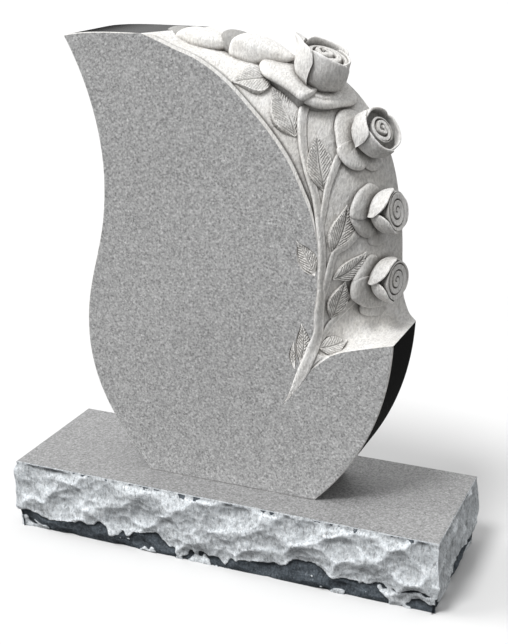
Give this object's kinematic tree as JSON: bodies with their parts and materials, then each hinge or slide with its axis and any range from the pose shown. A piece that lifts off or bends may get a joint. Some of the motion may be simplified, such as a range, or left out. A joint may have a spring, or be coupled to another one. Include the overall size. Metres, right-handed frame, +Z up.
{
  "type": "upright headstone",
  "caption": "Upright teardrop-shaped granite tablet with roses, buds and leaves carved along its sloping right edge, standing on a rock-pitched rectangular base.",
  "frame": {"origin": "middle of the base's underside", "axes": "+Z up; the front face looks along -Y; +X to the right of a person facing the front"},
  "size_m": [0.9344, 0.3248, 1.0431],
  "materials": {
    "base": "grey granite, honed flat on top, rock-pitched on all four sides",
    "tablet": "grey granite, honed front, polished dark sides and back, pale matt carving"
  },
  "bodies": {
    "root": {"base": "base", "tablet": "tablet"}
  },
  "joints": []
}
